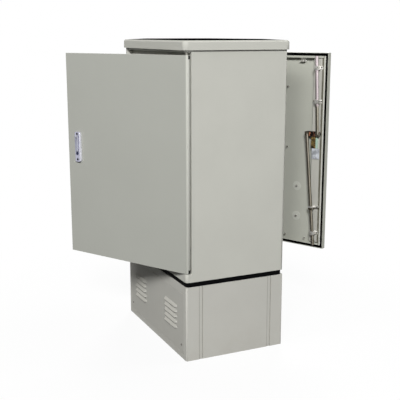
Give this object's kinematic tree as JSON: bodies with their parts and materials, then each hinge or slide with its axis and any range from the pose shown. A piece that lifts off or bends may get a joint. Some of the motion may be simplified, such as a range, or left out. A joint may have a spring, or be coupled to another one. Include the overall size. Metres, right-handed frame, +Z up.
{
  "type": "roadside utility cabinet",
  "caption": "Grey painted steel roadside cabinet on a louvred plinth, with hinged front and rear doors, rod locks with swing handles and racks of splice modules inside.",
  "frame": {"origin": "middle of the plinth's foot, on the ground", "axes": "+Z up, X across the doors, the front door looks along -Y"},
  "size_m": [0.77, 1.1586, 1.45],
  "materials": {
    "painted_steel": "satin",
    "inner_paint": "satin",
    "black_rubber": "matte",
    "zinc_steel": "satin",
    "die_cast": "satin",
    "dark_metal": "satin",
    "barrel_blue": "satin",
    "module_plastic": "matte",
    "copper_bar": "satin"
  },
  "bodies": {
    "cabinet": {"base_seal": "black_rubber", "body_shell": "painted_steel", "cable_entry_seals": "black_rubber", "earth_bar": "copper_bar", "floor_pan": "inner_paint", "front_clamp_bar": "zinc_steel", "front_door_frame": "painted_steel", "front_hinge_pins": "zinc_steel", "front_plinth_panel": "painted_steel", "front_splice_modules": "module_plastic", "left_rack_upright": "zinc_steel", "plinth_frame": "painted_steel", "plinth_screws": "dark_metal", "rear_clamp_bar": "zinc_steel", "rear_door_frame": "painted_steel", "rear_hinge_pins": "zinc_steel", "rear_plinth_panel": "painted_steel", "rear_splice_modules": "module_plastic", "right_rack_upright": "zinc_steel", "roof_cap": "painted_steel", "roof_mat": "black_rubber", "roof_rails": "inner_paint", "top_panel": "inner_paint"},
    "front_door": {"front_door_panel": "painted_steel", "front_door_gasket": "black_rubber", "front_lock_channel": "inner_paint", "front_lock_case": "dark_metal", "front_lock_plate": "die_cast", "front_handle_plate": "die_cast", "front_handle_screw": "dark_metal", "front_rod_guides": "zinc_steel", "front_door_studs": "zinc_steel", "front_stay_bracket": "dark_metal"},
    "front_spindle": {"front_handle_spindle": "zinc_steel", "front_lock_cam": "dark_metal"},
    "front_lever": {"front_handle_lever": "die_cast"},
    "front_barrel": {"front_lock_barrel": "barrel_blue"},
    "front_upper_bolt": {"front_upper_rod": "zinc_steel"},
    "front_lower_bolt": {"front_lower_rod": "zinc_steel"},
    "rear_door": {"rear_door_panel": "painted_steel", "rear_door_gasket": "black_rubber", "rear_lock_channel": "inner_paint", "rear_lock_case": "dark_metal", "rear_lock_plate": "die_cast", "rear_handle_plate": "die_cast", "rear_handle_screw": "dark_metal", "rear_rod_guides": "zinc_steel", "rear_door_studs": "zinc_steel", "rear_stay_bracket": "dark_metal"},
    "rear_spindle": {"rear_handle_spindle": "zinc_steel", "rear_lock_cam": "dark_metal"},
    "rear_lever": {"rear_handle_lever": "die_cast"},
    "rear_barrel": {"rear_lock_barrel": "barrel_blue"},
    "rear_upper_bolt": {"rear_upper_rod": "zinc_steel"},
    "rear_lower_bolt": {"rear_lower_rod": "zinc_steel"}
  },
  "joints": [
    {"name": "front_door_hinge", "type": "hinge", "parent": "cabinet", "child": "front_door", "pos_m": [0.362, -0.239, 0.418], "axis": [0, 0, 1], "range_deg": [-29.8, 90.2]},
    {"name": "front_handle_turn", "type": "hinge", "parent": "front_door", "child": "front_spindle", "pos_m": [-0.17574, -0.57578, 0.993], "axis": [-0.497, 0.8678, 0], "range_deg": [0, 90]},
    {"name": "front_handle_lift", "type": "hinge", "parent": "front_spindle", "child": "front_lever", "pos_m": [-0.17355, -0.57959, 0.993], "axis": [-0.8678, -0.497, 0], "range_deg": [0, 40]},
    {"name": "front_key_turn", "type": "hinge", "parent": "front_door", "child": "front_barrel", "pos_m": [-0.17574, -0.57578, 0.911], "axis": [-0.497, 0.8678, 0], "range_deg": [0, 90]},
    {"name": "front_upper_bolt_slide", "type": "slide", "parent": "front_door", "child": "front_upper_bolt", "axis": [0.0392, 0.0224, 0.999], "range_m": [0, 0.03]},
    {"name": "front_lower_bolt_slide", "type": "slide", "parent": "front_door", "child": "front_lower_bolt", "axis": [-0.0817, -0.0468, -0.9956], "range_m": [0, 0.03]},
    {"name": "rear_door_hinge", "type": "hinge", "parent": "cabinet", "child": "rear_door", "pos_m": [-0.362, 0.239, 0.418], "axis": [0, 0, 1], "range_deg": [-26.2, 93.8]},
    {"name": "rear_handle_turn", "type": "hinge", "parent": "rear_door", "child": "rear_spindle", "pos_m": [0.19582, 0.54135, 0.993], "axis": [0.4415, -0.8973, 0], "range_deg": [0, 90]},
    {"name": "rear_handle_lift", "type": "hinge", "parent": "rear_spindle", "child": "rear_lever", "pos_m": [0.19388, 0.54529, 0.993], "axis": [0.8973, 0.4415, 0], "range_deg": [0, 40]},
    {"name": "rear_key_turn", "type": "hinge", "parent": "rear_door", "child": "rear_barrel", "pos_m": [0.19582, 0.54135, 0.911], "axis": [0.4415, -0.8973, 0], "range_deg": [0, 90]},
    {"name": "rear_upper_bolt_slide", "type": "slide", "parent": "rear_door", "child": "rear_upper_bolt", "axis": [-0.0405, -0.0199, 0.999], "range_m": [0, 0.03]},
    {"name": "rear_lower_bolt_slide", "type": "slide", "parent": "rear_door", "child": "rear_lower_bolt", "axis": [0.0845, 0.0416, -0.9956], "range_m": [0, 0.03]}
  ],
  "couplings": [
    {"joint": "front_upper_bolt_slide", "follows": "front_handle_turn", "m_per_rad": 0.019099},
    {"joint": "front_lower_bolt_slide", "follows": "front_handle_turn", "m_per_rad": 0.019099},
    {"joint": "rear_upper_bolt_slide", "follows": "rear_handle_turn", "m_per_rad": 0.019099},
    {"joint": "rear_lower_bolt_slide", "follows": "rear_handle_turn", "m_per_rad": 0.019099}
  ]
}
